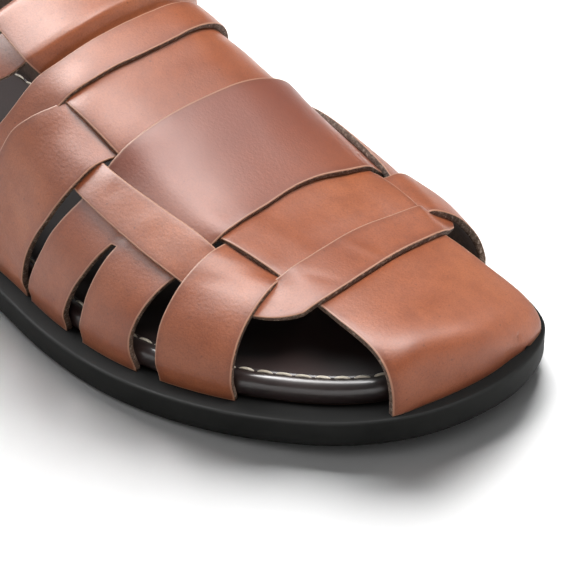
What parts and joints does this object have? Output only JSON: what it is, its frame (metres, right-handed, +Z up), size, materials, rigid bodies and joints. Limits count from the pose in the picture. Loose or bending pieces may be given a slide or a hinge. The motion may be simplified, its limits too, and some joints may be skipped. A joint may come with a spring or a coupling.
{
  "type": "fisherman sandal",
  "caption": "Right fisherman sandal: plaited tan leather straps over toe and instep, dark footbed with a stitch line, flat black rubber sole, buckled ankle strap.",
  "frame": {"origin": "middle of the sole's length and width, on the floor", "axes": "+X from heel to toe, +Y to the wearer's left (the inner side of this right shoe), +Z up"},
  "size_m": [0.298, 0.1089, 0.09],
  "materials": {
    "buckle_metal": "aged satin brass",
    "footbed_leather": "glossy dark brown, cream stitch line",
    "sole_rubber": "matt black, plain side",
    "strap_leather": "smooth tan leather, waxed sheen, raw dark-brown cut edges"
  },
  "bodies": {
    "root": {"ankle_strap": "strap_leather", "buckle_frame": "buckle_metal", "buckle_prong": "buckle_metal", "buckle_tab": "strap_leather", "footbed": "footbed_leather", "heel": "sole_rubber", "heel_counter": "strap_leather", "outsole": "sole_rubber", "strap_keeper": "strap_leather", "upper": "strap_leather"}
  },
  "joints": []
}
